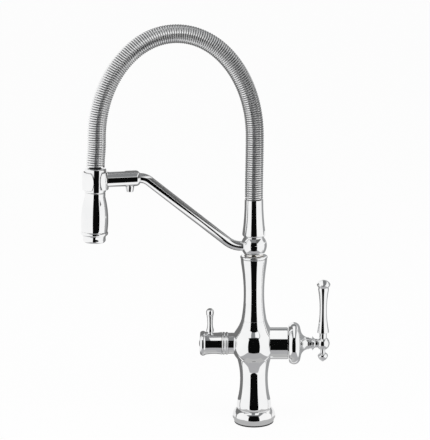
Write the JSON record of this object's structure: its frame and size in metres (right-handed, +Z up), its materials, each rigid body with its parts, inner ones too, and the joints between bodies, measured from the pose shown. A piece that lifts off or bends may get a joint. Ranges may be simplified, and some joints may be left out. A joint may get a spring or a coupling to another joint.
{
  "type": "kitchen faucet",
  "caption": "Deck faucet with a spring arch over a pull-down spray head, a docking arm with its own small outlet, a side mixer lever and a small side tap.",
  "frame": {"origin": "middle of the body's foot, on the deck", "axes": "+Z up along the column, +X towards the mixer handle, -Y towards the user"},
  "size_m": [0.3233, 0.0988, 0.5352],
  "materials": {
    "chrome": "polished",
    "brass": "machined",
    "steel": "plain",
    "rubber": "matte",
    "plastic": "matte"
  },
  "bodies": {
    "base": {"base_gasket": "rubber", "base_flange": "chrome", "valve_body": "chrome", "column": "chrome", "cup_ring": "chrome", "swivel_post": "brass", "filter_tube": "brass", "hub_seals": "rubber", "swivel_washer": "plastic", "post_clip": "steel", "mixer_sleeve": "chrome", "mixer_cartridge": "plastic", "cartridge_nut": "brass", "tap_sleeve": "chrome", "tap_beads": "chrome", "tap_headwork": "brass"},
    "spout": {"ball_hub": "chrome", "cone_sleeve": "chrome", "hose_union": "brass", "arm_tube": "chrome", "outlet_block": "chrome", "outlet_nozzle": "chrome", "outlet_insert": "plastic", "docking_collar": "chrome", "spring": "chrome", "inner_hose": "rubber"},
    "spray_head": {"head_sleeve": "chrome", "check_valve": "plastic", "head_shell": "chrome", "head_bead": "chrome"},
    "nozzle": {"nozzle_ring": "chrome", "spray_plate": "plastic", "stream_insert": "plastic"},
    "mixer_swing": {"stem_carrier": "plastic", "stem_pin": "steel"},
    "mixer_handle": {"cartridge_stem": "brass", "mixer_bell": "chrome", "grub_screw": "steel", "handle_neck": "chrome", "handle_knuckle": "chrome", "mixer_lever": "chrome", "lever_finial": "chrome"},
    "filter_handle": {"tap_spindle": "brass", "tap_spool": "chrome", "tap_screw": "steel", "tap_cap": "chrome", "tap_lever": "chrome"}
  },
  "joints": [
    {"name": "spout_swivel", "type": "hinge", "parent": "base", "child": "spout", "pos_m": [0, 0, 0.2434], "axis": [0, 0, 1], "range_deg": [-180, 180]},
    {"name": "spray_head_pull", "type": "slide", "parent": "spout", "child": "spray_head", "axis": [-0.0372, -0.0093, -0.9993], "range_m": [0, 0.1]},
    {"name": "spray_select", "type": "hinge", "parent": "spray_head", "child": "nozzle", "pos_m": [-0.20468, -0.05103, 0.265], "axis": [0.0372, 0.0093, 0.9993], "range_deg": [0, 90]},
    {"name": "mixer_turn", "type": "hinge", "parent": "base", "child": "mixer_swing", "pos_m": [0.036, 0, 0.1092], "axis": [1, 0, 0], "range_deg": [-45, 45]},
    {"name": "mixer_tilt", "type": "hinge", "parent": "mixer_swing", "child": "mixer_handle", "pos_m": [0.036, 0, 0.1092], "axis": [0, 1, 0], "range_deg": [0, 20]},
    {"name": "filter_turn", "type": "hinge", "parent": "base", "child": "filter_handle", "pos_m": [-0.058, 0, 0.1092], "axis": [1, 0, 0], "range_deg": [0, 90]}
  ]
}
